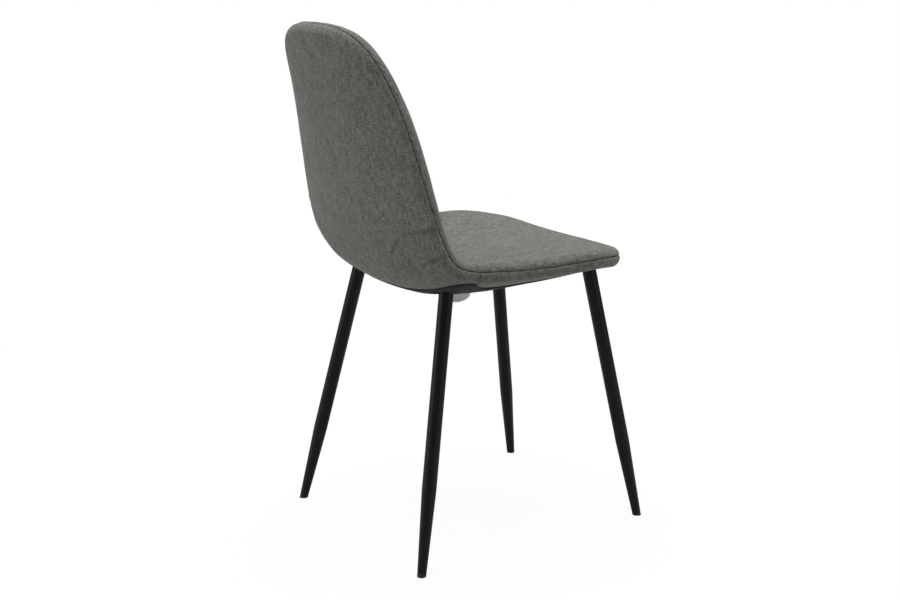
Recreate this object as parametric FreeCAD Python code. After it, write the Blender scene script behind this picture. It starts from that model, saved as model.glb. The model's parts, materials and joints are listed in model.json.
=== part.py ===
import FreeCAD, Part
import math
import os

# Dining chair with a padded one-piece shell on four splayed tapered legs.
# Millimetres. +Z up, the chair faces -Y, the sitter's right is -X.

V = FreeCAD.Vector

# Overall sizes: the seat's lowest line over the floor, and the shell's widest half width
seat_height = 428.0
shell_half_width = 238.0

# Centre line of the shell's outer skin, front lip to top edge, as (y, height over the seat's
# lowest line) control points, then the back's further rise and lean
front_lip = (-225.0, 22.5)
lip_bend = (-211.0, 18.5)
seat_front = (-142.0, 16.5)
seat_middle = (-24.0, 0.0)
seat_rear = (105.0, 0.0)
bend_low = (200.0, 12.5)
bend_high = (247.5, 98.0)
lumbar_rise = 152.0
lumbar_lean = 9.0
back_rise = 343.0
back_lean = 61.0

# Share of the half width, as control values of a smooth curve from front lip to top edge
width_shares = [0.857, 1.0, 0.983, 0.945, 0.819, 0.685, 0.803]
rim_rises = [12.0, 32.0, 49.0, 49.0, 33.0, 34.0, 31.0]
rim_curve = 2.36

# Rounding of the outline at the front lip and at the top: reach and squareness
front_round = 136.0
front_square = 2.78
top_round = 224.0
top_square = 2.78

# Padding
padded_thickness = 32.6
rim_reach = 13.1
crown = 4.0
cover_thickness = 1.2
layer_gap = 0.3
core_thickness = 6.0
core_height = 8.0
core_inset = 8.0

# Angle of the edge seam round the rim from the sitter side, as control values in the same way
seam_angles = [70.0, 91.0, 110.0, 82.0, 137.0, 120.0, 88.0]
seam_gap = 1.5

# Border panel: where its short upright seams stand, and the hem round the leg plates
panel_seam_y = 128.0
hem_clearance = 8.0
hem_corner = 20.0

# Dust cover and label
dust_overlap = 6.0
dust_thickness = 0.8
dust_sag = 7.0
label_width = 32.0
label_drop = 17.0
label_corner = 13.0
label_thickness = 0.5
label_gap = 0.3
label_place = (-94.0, 80.0)
label_turn = 57.0

# Legs: foot centre in from the shell's side and along y, and slope of the axis per unit of height
front_foot_inset = 43.0
front_foot_y = -230.0
front_slope = (0.121, -0.173)
rear_foot_inset = 32.0
rear_foot_y = 230.0
rear_slope = (0.149, 0.205)
leg_rise = 22.0
leg_radius = 12.0
leg_foot_radius = 7.4
leg_taper = 140.0
leg_wall = 1.5
glide_height = 5.0
glide_plug = 16.0
glide_clearance = 0.1

# Leg plates, blocks and fasteners
plate_size = 50.0
plate_thickness = 3.0
plate_corner = 8.0
plate_shift = 10.0
bolt_spacing = 32.0
bolt_radius = 3.0
bolt_clearance = 0.3
bolt_end_gap = 1.0
bolt_head_radius = 5.25
bolt_head_height = 3.3
washer_radius = 6.0
washer_thickness = 1.6
insert_radius = 4.5
insert_sink = 1.2
insert_top_gap = 0.3
insert_clearance = 0.1
block_gap = 0.3
block_thickness = 4.0
block_margin = 1.0
cutout_margin = 2.0
screw_spacing = 18.0
screw_radius = 1.75
screw_head_radius = 3.5
screw_end_gap = 0.8
screw_clearance = 0.1
screw_sink = 1.2
socket_radius = 1.8

# Number of stations across and along the shell
across = 17
along = 41


def spline(points):
    """Clamped cubic B-spline with even knots on a list of control points."""
    count = len(points)
    knots = [i / (count - 3) for i in range(count - 2)]
    mults = [4] + [1] * (count - 4) + [4]
    curve = Part.BSplineCurve()
    curve.buildFromPolesMultsKnots(points, mults, knots, False, 3)
    return curve


def shell_line():
    """The centre line of the outer skin in the plane x = 0."""
    back_middle = (bend_high[0] + lumbar_lean, bend_high[1] + lumbar_rise)
    top = (bend_high[0] + back_lean, bend_high[1] + back_rise)
    points = [front_lip, lip_bend, seat_front, seat_middle, seat_rear, bend_low, bend_high,
              back_middle, top]
    return spline([V(0, y, seat_height + rise) for y, rise in points])


def law(values):
    """A smooth value along the shell from evenly spaced control values."""
    return spline([V(value, 0, 0) for value in values])


line = shell_line()
core_level = plate_thickness + block_thickness + block_gap
width_law = law([share * shell_half_width for share in width_shares])
rise_law = law(rim_rises)
seam_law = law(seam_angles)
table_steps = 800


def length_table():
    """Distance along the centre line at even parameter steps."""
    table = [0.0]
    last = line.value(0.0)
    for i in range(1, table_steps + 1):
        here = line.value(i / table_steps)
        table.append(table[-1] + (here - last).Length)
        last = here
    return table


lengths = length_table()
line_length = lengths[-1]


def parameter_at(b):
    """Curve parameter at distance b along the centre line."""
    low = 0
    high = table_steps
    while high - low > 1:
        middle = (low + high) // 2
        if lengths[middle] > b:
            high = middle
        else:
            low = middle
    part = (b - lengths[low]) / (lengths[high] - lengths[low])
    return (low + part) / table_steps


def skin_point(a, b):
    """Point of the outer skin at sideways distance a and distance b along the centre line."""
    held = min(max(b, 0.0), line_length)
    t = parameter_at(held)
    direction = line.tangent(t)[0]
    base = line.value(t) + direction * (b - held)
    inward = V(0, -direction.z, direction.y)
    half = width_law.value(held / line_length).x
    rise = rise_law.value(held / line_length).x * abs(a / half) ** rim_curve
    return base + inward * rise + V(a, 0, 0)


def skin_frame(a, b):
    """Point of the outer skin and its unit normal towards the sitter."""
    step = 0.5
    sideways = skin_point(a + step, b) - skin_point(a - step, b)
    lengthways = skin_point(a, b + step) - skin_point(a, b - step)
    normal = sideways.cross(lengthways)
    normal.normalize()
    return skin_point(a, b), normal


def even_stations(points, count):
    """The same open line with points at even distances."""
    total = [0.0]
    for first, second in zip(points, points[1:]):
        total.append(total[-1] + math.hypot(second[0] - first[0], second[1] - first[1]))
    result = []
    j = 0
    for i in range(count):
        target = total[-1] * i / (count - 1)
        while j < len(total) - 2 and total[j + 1] < target:
            j += 1
        part = (target - total[j]) / (total[j + 1] - total[j])
        a = points[j][0] + part * (points[j + 1][0] - points[j][0])
        b = points[j][1] + part * (points[j + 1][1] - points[j][1])
        result.append((a, b))
    return result


def shell_outline():
    """Right half of the shell's outline as (a, b), front centre to top centre."""
    steps = 120
    front = []
    top = []
    for i in range(steps + 1):
        angle = math.pi / 2 * i / steps
        b = front_round * (1 - math.cos(angle) ** (2 / front_square))
        share = math.sin(angle) ** (2 / front_square)
        front.append((share * width_law.value(b / line_length).x, b))
        b = line_length - top_round * (1 - math.sin(angle) ** (2 / top_square))
        share = math.cos(angle) ** (2 / top_square)
        top.append((share * width_law.value(b / line_length).x, b))
    side = []
    for i in range(1, steps):
        b = front_round + (line_length - front_round - top_round) * i / steps
        side.append((width_law.value(b / line_length).x, b))
    middle = steps // 2
    return front[:middle + 1], front[middle:] + side + top[:middle + 1], top[middle:]


def shell_edges():
    """The four edges of the shell's outline, front, right, top and left, turning one way."""
    front, side, top = shell_outline()
    whole_front = [(-a, b) for a, b in reversed(front)] + front[1:]
    whole_top = top + [(-a, b) for a, b in reversed(top[:-1])]
    left = [(-a, b) for a, b in reversed(side)]
    return [even_stations(whole_front, across), even_stations(side, along),
            even_stations(whole_top, across), even_stations(left, along)]


def rounded_rectangle(half, start, end, corner, across_count, along_count):
    """Four edges of a rounded rectangle in (a, b), each corner split at its middle."""
    def arc(centre_a, centre_b, first):
        points = []
        for i in range(9):
            angle = math.radians(first + 45 * i / 8)
            points.append((centre_a + corner * math.cos(angle), centre_b + corner * math.sin(angle)))
        return points
    inner = half - corner
    low = start + corner
    high = end - corner
    front = arc(-inner, low, 225) + arc(inner, low, 270)
    right = arc(inner, low, 315) + arc(inner, high, 0)
    top = arc(inner, high, 45) + arc(-inner, high, 90)
    left = arc(-inner, high, 135) + arc(-inner, low, 180)
    return [even_stations(front, across_count), even_stations(right, along_count),
            even_stations(top, across_count), even_stations(left, along_count)]


def inset_edges(edges, distance, height):
    """Edges moved inwards on the skin by a distance measured at a height above it."""
    loop = [point for edge in edges for point in edge[:-1]]
    count = len(loop)
    spots = []
    for a, b in loop:
        point, normal = skin_frame(a, b)
        spots.append((point + normal * height, normal))
    moved = []
    for i, (a, b) in enumerate(loop):
        tangent = spots[(i + 1) % count][0] - spots[i - 1][0]
        outward = tangent.cross(spots[i][1])
        outward.normalize()
        sideways = skin_point(a + 0.5, b) - skin_point(a - 0.5, b)
        lengthways = skin_point(a, b + 0.5) - skin_point(a, b - 0.5)
        e = sideways.dot(sideways)
        f = sideways.dot(lengthways)
        g = lengthways.dot(lengthways)
        p = -distance * outward.dot(sideways)
        q = -distance * outward.dot(lengthways)
        scale = 1 / (e * g - f * f)
        moved.append((a + scale * (g * p - f * q), b + scale * (e * q - f * p)))
    result = []
    start = 0
    for edge in edges:
        stop = start + len(edge) - 1
        result.append([moved[i % count] for i in range(start, stop + 1)])
        start = stop
    return result


class Domain:
    """A piece of the skin inside four edges: a grid of points with normals, and its rim."""

    def __init__(self, edges):
        front, right, top, left = edges
        back_top = list(reversed(top))
        up_left = list(reversed(left))
        n = len(front)
        m = len(right)
        self.grid = []
        for i in range(n):
            u = i / (n - 1)
            row = []
            for j in range(m):
                v = j / (m - 1)
                spot = []
                for k in (0, 1):
                    lines = (1 - v) * front[i][k] + v * back_top[i][k]
                    lines += (1 - u) * up_left[j][k] + u * right[j][k]
                    corners = (1 - u) * ((1 - v) * front[0][k] + v * back_top[0][k])
                    corners += u * ((1 - v) * front[-1][k] + v * back_top[-1][k])
                    spot.append(lines - corners)
                row.append(skin_frame(spot[0], spot[1]))
            self.grid.append(row)
        self.loops = []
        places = [place for edge in edges for place in edge[:-1]]
        loop = [skin_frame(a, b) for a, b in places]
        count = len(loop)
        frames = []
        for i, (point, normal) in enumerate(loop):
            before = loop[i - 1][0] + loop[i - 1][1] * padded_thickness / 2
            after = loop[(i + 1) % count][0] + loop[(i + 1) % count][1] * padded_thickness / 2
            outward = (after - before).cross(normal)
            outward.normalize()
            seam = seam_law.value(min(max(places[i][1] / line_length, 0.0), 1.0)).x
            frames.append((point, normal, outward, seam))
        start = 0
        for edge in edges:
            stop = start + len(edge) - 1
            self.loops.append([frames[i % count] for i in range(start, stop + 1)])
            start = stop

    def patch(self, height):
        """Face at a height above the skin; height is a function of u and v from -1 to 1."""
        n = len(self.grid)
        m = len(self.grid[0])
        points = []
        for i in range(n):
            u = 2 * i / (n - 1) - 1
            row = []
            for j in range(m):
                v = 2 * j / (m - 1) - 1
                point, normal = self.grid[i][j]
                row.append(point + normal * height(u, v))
            points.append(row)
        return surface_through(points)

    def strips(self, stations):
        """Four faces along the rim, through (outwards, height) stations that follow the seam."""
        faces = []
        for loop in self.loops:
            points = []
            for point, normal, outward, seam in loop:
                row = [point + normal * height + outward * out for out, height in stations(seam)]
                points.append(row)
            faces.append(surface_through(points))
        return faces

    def solid(self, top, bottom, section):
        """Closed solid between two heights, its edge following the section's pieces."""
        faces = [self.patch(top), self.patch(bottom)]
        for stations in section:
            faces.extend(self.strips(stations))
        shell = Part.makeShell(faces)
        shell.sewShape()
        solid = Part.makeSolid(shell)
        if solid.Volume < 0:
            solid.reverse()
        return solid


def curve_through(points):
    """Cubic curve through the points at even parameter steps."""
    curve = Part.BSplineCurve()
    steps = [i / (len(points) - 1) for i in range(len(points))]
    curve.interpolate(Points=points, Parameters=steps)
    return curve


def surface_through(grid):
    """Face through a grid of points; equal border points give equal border curves."""
    rows = [curve_through(row) for row in grid]
    columns = [curve_through(list(poles)) for poles in zip(*[row.getPoles() for row in rows])]
    poles = [list(row) for row in zip(*[column.getPoles() for column in columns])]
    first = columns[0]
    second = rows[0]
    surface = Part.BSplineSurface()
    surface.buildFromPolesMultsKnots(
        poles, first.getMultiplicities(), second.getMultiplicities(), first.getKnots(),
        second.getKnots(), False, False, first.Degree, second.Degree)
    return surface.toShape()


def level(height):
    """A constant height."""
    return lambda u, v: height


def fixed(stations):
    """The same section stations wherever the seam stands."""
    return lambda seam: stations


def crowned(height):
    """A height that swells by the crown in the middle and is level at the rim."""
    return lambda u, v: height + crown * (1 - u ** 4) ** 2 * (1 - v ** 4) ** 2


def arc_section(depth, first, last):
    """Stations on the rounded rim, at a depth inside it, between two angles from the top."""
    half = padded_thickness / 2
    count = 9
    stations = []
    for i in range(count):
        angle = math.radians(first + (last - first) * i / (count - 1))
        out = (rim_reach - depth) * math.sin(angle)
        stations.append((out, half + (half - depth) * math.cos(angle)))
    return stations


def rim_angle(depth, height):
    """Angle at which the rounded rim at a depth passes a height."""
    half = padded_thickness / 2
    return math.degrees(math.acos((height - half) / (half - depth)))


def inner_cover(domain):
    """Fabric on the sitter's side, wrapping over the rim to the edge seam."""
    def outer(seam):
        return arc_section(0, 0, seam)

    def inner(seam):
        return arc_section(cover_thickness, seam, 0)

    def joint(seam):
        return [outer(seam)[-1], inner(seam)[0]]
    top = padded_thickness
    return domain.solid(crowned(top), crowned(top - cover_thickness), [outer, joint, inner])


def outer_cover(domain):
    """Fabric on the back and underside, up to the edge seam."""
    def inner(seam):
        return arc_section(cover_thickness, 180, seam + seam_gap)

    def outer(seam):
        return arc_section(0, seam + seam_gap, 180)

    def joint(seam):
        return [inner(seam)[-1], outer(seam)[0]]
    return domain.solid(level(cover_thickness), level(0), [inner, joint, outer])


def front_foam(domain):
    """Foam on the sitter's side of the core, rounded over its edge."""
    depth = cover_thickness + layer_gap
    floor = core_height + core_thickness + layer_gap
    rim = arc_section(depth, 0, rim_angle(depth, floor))
    section = [fixed(rim), fixed([rim[-1], (0, floor)])]
    return domain.solid(crowned(padded_thickness - depth), level(floor), section)


def rear_foam(domain):
    """Thin foam behind and under the core, with a lip round the core's edge."""
    depth = cover_thickness + layer_gap
    ceiling = core_height - layer_gap
    lip = core_height + core_thickness
    edge = rim_reach - core_inset + layer_gap
    rim = arc_section(depth, rim_angle(depth, lip), 180)
    section = [[(0, ceiling), (edge, ceiling)], [(edge, ceiling), (edge, lip)], [(edge, lip), rim[0]], rim]
    return domain.solid(level(ceiling), level(depth), [fixed(stations) for stations in section])


def shell_core(domain):
    """Moulded shell that gives the chair its form."""
    top = core_height + core_thickness
    edge = rim_reach - core_inset
    section = [[(0, top), (edge, top)], [(edge, top), (edge, core_height)],
               [(edge, core_height), (0, core_height)]]
    return domain.solid(level(top), level(core_height), [fixed(stations) for stations in section])


def hem_domain(grow):
    """Rounded rectangle under the seat, clear of the leg plates and larger all round by grow."""
    reach = plate_size / 2 + hem_clearance + grow
    half = max(abs(corner.a) for corner in leg_corners) + reach
    front = min(corner.b for corner in leg_corners) - reach
    rear = max(corner.b for corner in leg_corners) + reach
    return Domain(rounded_rectangle(half, front, rear, hem_corner + grow, 21, 25))


def hem_opening():
    """Space of the opening in the covers and the rear foam under the seat."""
    top = core_height - layer_gap / 2
    bottom = -6.0
    return hem_domain(0).solid(level(top), level(bottom), [fixed([(0, top), (0, bottom)])])


def dust_height(base):
    """Height of the dust cover, hanging lower towards its middle."""
    return lambda u, v: base - dust_sag * math.cos(math.pi / 2 * u) * math.cos(math.pi / 2 * v)


def dust_cover():
    """Black cloth closing the underside."""
    top = -layer_gap
    bottom = top - dust_thickness
    return hem_domain(dust_overlap).solid(dust_height(top), dust_height(bottom),
                                          [fixed([(0, top), (0, bottom)])])


def station_at(a, y):
    """Distance along the centre line where the skin at sideways distance a has this y."""
    low = 0.0
    high = line_length * 0.55
    for _ in range(40):
        middle = (low + high) / 2
        if skin_point(a, middle).y > y:
            high = middle
        else:
            low = middle
    return (low + high) / 2


class Corner:
    """One leg's place: its name, foot and axis, and the plate it carries under the shell.

    The plate's own frame has its underside's middle at the origin, z towards the core,
    and x and y signs that point to the middle of the seat.
    """

    def __init__(self, name, side, foot_inset, foot_y, slope):
        self.name = name
        self.foot = V(side * (shell_half_width - foot_inset), foot_y, 0)
        self.axis = V(-side * slope[0], -slope[1], 1)
        self.in_x = -side
        self.in_y = -1 if foot_y > 0 else 1
        head = self.foot + self.axis * (seat_height + leg_rise)
        self.a = head.x + self.in_x * plate_shift
        self.b = station_at(self.a, head.y + self.in_y * plate_shift)
        point, normal = skin_frame(self.a, self.b)
        depth = core_height - core_level
        self.placement = FreeCAD.Placement(point + normal * depth, FreeCAD.Rotation(V(0, 0, 1), normal))

    def put(self, shape):
        """Shape moved from the plate's frame into the chair's."""
        moved = shape.copy()
        moved.Placement = self.placement.multiply(moved.Placement)
        return moved

    def bolt_places(self):
        half = bolt_spacing / 2
        signs = [(1, 1), (1, -1), (-1, 1)]
        return [V(x * half * self.in_x, y * half * self.in_y, 0) for x, y in signs]

    def screw_places(self):
        half = screw_spacing / 2
        return [V(-half, 0, 0), V(half, 0, 0)]


def corners():
    result = []
    for name, side in (("right", -1), ("left", 1)):
        result.append(Corner("front_" + name, side, front_foot_inset, front_foot_y, front_slope))
        result.append(Corner("rear_" + name, side, rear_foot_inset, rear_foot_y, rear_slope))
    return result


def rounded_plate(size, corner, low, high):
    """Square plate with rounded corners about the z axis, between two heights."""
    box = Part.makeBox(size, size, high - low, V(-size / 2, -size / 2, low))
    upright = [edge for edge in box.Edges if edge.BoundBox.ZLength > (high - low) / 2]
    return box.makeFillet(corner, upright)


def rod(radius, place, low, high):
    """Upright cylinder at a place, between two heights."""
    return Part.makeCylinder(radius, high - low, V(place.x, place.y, low))


def leg_plate(corner):
    """Plate welded on top of a leg, bolted to the leg block."""
    plate = rounded_plate(plate_size, plate_corner, 0, plate_thickness)
    for place in corner.bolt_places():
        plate = plate.cut(rod(bolt_radius + bolt_clearance, place, -1, plate_thickness + 1))
    return corner.put(plate)


def turned_on_leg(corner, outline):
    """Solid turned about a leg's axis from (radius, distance from the floor) points."""
    wire = Part.makePolygon([V(radius, 0, distance) for radius, distance in outline + outline[:1]])
    solid = Part.Face(wire).revolve(V(0, 0, 0), V(0, 0, 1), 360)
    if solid.Volume < 0:
        solid.reverse()
    turn = FreeCAD.Rotation(V(0, 0, 1), corner.axis)
    solid.Placement = FreeCAD.Placement(corner.foot, turn)
    return solid


def taper_radius(distance):
    """Leg radius at a distance from the floor along the axis."""
    share = min(distance / leg_taper, 1.0)
    return leg_foot_radius + (leg_radius - leg_foot_radius) * share


def leg_tube(corner):
    """Tapered steel tube from its glide up to its plate."""
    end = corner.axis.Length * (seat_height + leg_rise) + 3 * leg_radius
    outline = [(taper_radius(glide_height), glide_height), (leg_radius, leg_taper), (leg_radius, end),
               (leg_radius - leg_wall, end), (leg_radius - leg_wall, leg_taper),
               (taper_radius(glide_height) - leg_wall, glide_height)]
    under_plate = corner.put(Part.makeBox(400, 400, 600, V(-200, -200, -600)))
    return turned_on_leg(corner, outline).common(under_plate)


def foot_glide(corner):
    """Plastic plug in the leg's end with a flat foot on the floor."""
    bore = taper_radius(glide_height) - leg_wall - glide_clearance
    below = -leg_foot_radius
    outline = [(0, below), (leg_foot_radius, below), (taper_radius(glide_height), glide_height),
               (bore, glide_height), (bore, glide_height + glide_plug), (0, glide_height + glide_plug)]
    above_floor = Part.makeBox(800, 800, 100, V(-400, -400, 0))
    return turned_on_leg(corner, outline).common(above_floor)


def leg_block(corner):
    """Wooden block between a leg plate and the curved core."""
    top = plate_thickness + 3 * block_thickness
    block = rounded_plate(plate_size - 2 * block_margin, plate_corner, plate_thickness, top)
    for place in corner.bolt_places():
        block = block.cut(rod(bolt_radius + bolt_clearance, place, 0, top))
    return corner.put(block).cut(space_above_core(corner))


def space_above_core(corner):
    """Space over one leg block, starting just under the core."""
    reach = plate_size * 0.8
    low_a = corner.a - reach
    high_a = corner.a + reach
    low_b = corner.b - reach
    high_b = corner.b + reach
    corner_points = [(low_a, low_b), (high_a, low_b), (high_a, high_b), (low_a, high_b)]
    edges = []
    for first, second in zip(corner_points, corner_points[1:] + corner_points[:1]):
        edges.append(even_stations([first, second], 13))
    bottom = core_height - block_gap
    top = bottom + 5 * block_thickness
    return Domain(edges).solid(level(top), level(bottom), [fixed([(0, top), (0, bottom)])])


def bolt(corner, place):
    """Button-head bolt up through washer, plate and block into its threaded insert."""
    under = -washer_thickness
    head = rod(bolt_head_radius, place, under - bolt_head_height, under)
    lower_rim = [edge for edge in head.Edges if edge.BoundBox.ZMax < under - bolt_head_height / 2]
    head = head.makeFillet(bolt_head_height * 0.6, lower_rim)
    head = head.cut(rod(socket_radius, place, under - bolt_head_height, under - bolt_head_height / 2))
    shank = rod(bolt_radius, place, under, core_level + core_thickness - bolt_end_gap)
    return corner.put(head.fuse(shank).removeSplitter())


def washer(corner, place):
    """Flat washer against the plate's underside."""
    ring = rod(washer_radius, place, -washer_thickness, 0)
    return corner.put(ring.cut(rod(bolt_radius + bolt_clearance, place, -washer_thickness, 0)))


def threaded_insert(corner, place):
    """Threaded sleeve set into the core above a leg block."""
    low = core_level + insert_sink
    high = core_level + core_thickness - insert_top_gap
    sleeve = rod(insert_radius, place, low, high)
    return corner.put(sleeve.cut(rod(bolt_radius + insert_clearance, place, low, high)))


def insert_hole(corner, place):
    """Hole through the core for a threaded insert."""
    low = core_level - core_thickness / 2
    high = core_level + 2 * core_thickness
    return corner.put(rod(insert_radius + insert_clearance, place, low, high))


def block_screw(corner, place, grow):
    """Countersunk screw from the core down into a leg block, or the space it needs."""
    top = core_level + core_thickness - screw_sink
    radius = screw_radius + grow
    head_radius = screw_head_radius + grow
    shank = rod(radius, place, plate_thickness + screw_end_gap - grow, top)
    cone_height = screw_head_radius - screw_radius
    cone = Part.makeCone(radius, head_radius, cone_height, V(place.x, place.y, top - cone_height))
    screw = shank.fuse(cone)
    if grow:
        screw = screw.fuse(rod(head_radius, place, top, top + core_thickness))
    return corner.put(screw)


def care_label(dust):
    """Blank label hanging from the dust cover, its lower corners rounded."""
    x, y = label_place
    probe = Part.makeLine(V(x, y, seat_height / 2), V(x, y, seat_height * 2)).common(dust)
    tag = Part.makeBox(label_width, label_thickness, label_drop,
                       V(-label_width / 2, -label_thickness / 2, -label_drop))
    ends = [edge for edge in tag.Edges
            if edge.BoundBox.YLength > label_thickness / 2 and edge.BoundBox.ZMax < -label_drop / 2]
    tag = tag.makeFillet(label_corner, ends)
    tag.rotate(V(0, 0, 0), V(0, 0, 1), label_turn)
    tag.translate(V(x, y, probe.BoundBox.ZMin - label_gap))
    return tag


def save(name, shape):
    shape.translate(shift)
    shape.exportStep("parts/" + name + ".step")
    print(name, len(shape.Solids), round(shape.Volume), shape.isValid())


os.makedirs("parts", exist_ok=True)
leg_corners = corners()
outline = shell_edges()
rim_line = inset_edges(outline, rim_reach, padded_thickness / 2)
domain = Domain(rim_line)

core = shell_core(domain)
pad = front_foam(domain)
inner = inner_cover(domain)
opening = hem_opening()
back_pad = rear_foam(domain).cut(opening)
outer = outer_cover(domain).cut(opening)
dust = dust_cover()

ahead = Part.makeBox(1000, 1000, 1000, V(-500, panel_seam_y - seam_gap / 10 - 1000, 0))
behind = Part.makeBox(1000, 1000, 1500, V(-500, panel_seam_y + seam_gap / 10, 0))
border_panel = outer.common(ahead)
rear_panel = outer.common(behind)

shapes = {}
bolts = []
washers = []
inserts = []
screws = []
for corner in leg_corners:
    block = leg_block(corner)
    for place in corner.screw_places():
        screws.append(block_screw(corner, place, 0))
        hole = block_screw(corner, place, screw_clearance)
        core = core.cut(hole)
        block = block.cut(hole)
    shapes["leg_block_" + corner.name] = block
    shapes["leg_plate_" + corner.name] = leg_plate(corner)
    shapes["leg_" + corner.name] = leg_tube(corner)
    shapes["foot_glide_" + corner.name] = foot_glide(corner)
    cutout = rounded_plate(plate_size + 2 * cutout_margin, plate_corner, -60, 60)
    dust = dust.cut(corner.put(cutout))
    for place in corner.bolt_places():
        core = core.cut(insert_hole(corner, place))
        bolts.append(bolt(corner, place))
        washers.append(washer(corner, place))
        inserts.append(threaded_insert(corner, place))

shapes["shell_core"] = core
shapes["front_foam_pad"] = pad
shapes["rear_foam_pad"] = back_pad
shapes["inner_fabric_cover"] = inner
shapes["rear_fabric_panel"] = rear_panel
shapes["seat_border_panel"] = border_panel
shapes["dust_cover"] = dust
shapes["care_label"] = care_label(dust)
shapes["plate_bolts"] = Part.makeCompound(bolts)
shapes["plate_washers"] = Part.makeCompound(washers)
shapes["threaded_inserts"] = Part.makeCompound(inserts)
shapes["block_screws"] = Part.makeCompound(screws)

# The origin is the middle of the whole chair's box, on the floor
box = FreeCAD.BoundBox()
for shape in shapes.values():
    box.add(shape.optimalBoundingBox(False))
shift = V(-(box.XMin + box.XMax) / 2, -(box.YMin + box.YMax) / 2, -box.ZMin)
for name, shape in shapes.items():
    save(name, shape)
print("size", round(box.XLength, 1), round(box.YLength, 1), round(box.ZLength, 1), "shift", shift)
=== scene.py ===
import bpy
import json
import math
import numpy as np
from mathutils import Matrix, Vector


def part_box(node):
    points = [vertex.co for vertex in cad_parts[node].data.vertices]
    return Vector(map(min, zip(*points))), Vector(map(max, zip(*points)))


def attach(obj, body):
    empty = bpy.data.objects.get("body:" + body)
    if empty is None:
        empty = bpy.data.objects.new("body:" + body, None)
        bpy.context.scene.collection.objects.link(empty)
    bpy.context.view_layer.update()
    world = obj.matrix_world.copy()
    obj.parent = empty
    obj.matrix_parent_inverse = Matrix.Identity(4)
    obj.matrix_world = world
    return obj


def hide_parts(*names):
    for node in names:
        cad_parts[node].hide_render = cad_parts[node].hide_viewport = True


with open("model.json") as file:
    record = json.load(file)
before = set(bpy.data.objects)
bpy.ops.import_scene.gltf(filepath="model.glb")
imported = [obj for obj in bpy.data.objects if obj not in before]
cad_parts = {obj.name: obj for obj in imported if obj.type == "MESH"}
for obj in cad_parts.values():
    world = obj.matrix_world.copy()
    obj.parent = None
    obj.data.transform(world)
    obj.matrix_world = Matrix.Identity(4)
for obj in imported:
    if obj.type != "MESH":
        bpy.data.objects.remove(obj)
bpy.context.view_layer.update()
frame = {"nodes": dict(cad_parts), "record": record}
nodes = frame["nodes"]
feet = {m["name"]: m["pos_m"] for m in frame["record"]["mounts"]}
middleY = (feet["foot_front_right"][1] + feet["foot_rear_right"][1]) / 2
print("frame loaded")

# The padded shell, in metres, with y measured from the middle of the feet
shell = {
    "centreLine": [
        (-0.225, 0.4505), (-0.211, 0.4465), (-0.142, 0.4445), (-0.024, 0.428), (0.105, 0.428),
        (0.200, 0.4405), (0.2475, 0.526), (0.2565, 0.678), (0.3085, 0.869)],
    "widthShares": [0.857, 1.0, 0.983, 0.945, 0.819, 0.685, 0.803],
    "halfWidth": 0.238,
    "rimRises": [0.012, 0.032, 0.049, 0.049, 0.033, 0.034, 0.031],
    "rimCurve": 2.36,
    "frontRound": 0.136,
    "frontSquare": 2.78,
    "topRound": 0.224,
    "topSquare": 2.78,
    "thickness": 0.0326,
    "rimReach": 0.0131,
}


# Curves and the skin

def splineBasis(count, t):
    knots = np.concatenate([[0] * 3, np.linspace(0, 1, count - 2), [1] * 3])
    t = np.clip(np.asarray(t, float), 0, 1 - 1e-12)
    weights = [((knots[i] <= t) & (t < knots[i + 1])).astype(float) for i in range(len(knots) - 1)]
    for degree in (1, 2, 3):
        raised = []
        for i in range(len(knots) - 1 - degree):
            left = knots[i + degree] - knots[i]
            right = knots[i + degree + 1] - knots[i + 1]
            value = np.zeros_like(t)
            if left > 0:
                value = value + (t - knots[i]) / left * weights[i]
            if right > 0:
                value = value + (knots[i + degree + 1] - t) / right * weights[i + 1]
            raised.append(value)
        weights = raised
    return np.stack(weights, -1)


def law(values, share):
    values = np.array(values, float)
    return splineBasis(len(values), share) @ values


def halfWidthAt(share):
    return shell["halfWidth"] * law(shell["widthShares"], share)


lineSteps = np.linspace(0, 1, 4001)
linePoints = law(shell["centreLine"], lineSteps) + np.array([middleY, 0])
lineLengths = np.concatenate([[0], np.cumsum(np.hypot(*np.diff(linePoints, axis=0).T))])
lineLength = lineLengths[-1]
lineDirections = np.gradient(linePoints, lineLengths, axis=0)
lineDirections /= np.linalg.norm(lineDirections, axis=1, keepdims=True)


def onLine(table, b):
    return np.stack([np.interp(b, lineLengths, table[:, k]) for k in (0, 1)], -1)


def skinPoint(a, b):
    held = np.clip(b, 0, lineLength)
    direction = onLine(lineDirections, held)
    base = onLine(linePoints, held) + direction * (b - held)[..., None]
    share = held / lineLength
    rise = law(shell["rimRises"], share) * np.abs(a / halfWidthAt(share)) ** shell["rimCurve"]
    y = base[..., 0] - direction[..., 1] * rise
    z = base[..., 1] + direction[..., 0] * rise
    return np.stack([a, y, z], -1)


def skinFrame(a, b):
    step = 0.0005
    sideways = skinPoint(a + step, b) - skinPoint(a - step, b)
    lengthways = skinPoint(a, b + step) - skinPoint(a, b - step)
    normal = np.cross(sideways, lengthways)
    normal /= np.linalg.norm(normal, axis=-1, keepdims=True)
    return skinPoint(a, b), normal, sideways, lengthways


def spread(points, shares):
    points = np.array(points)
    total = np.concatenate([[0], np.cumsum(np.hypot(*np.diff(points, axis=0).T))])
    return np.stack([np.interp(np.array(shares) * total[-1], total, points[:, k]) for k in (0, 1)], -1)


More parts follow.
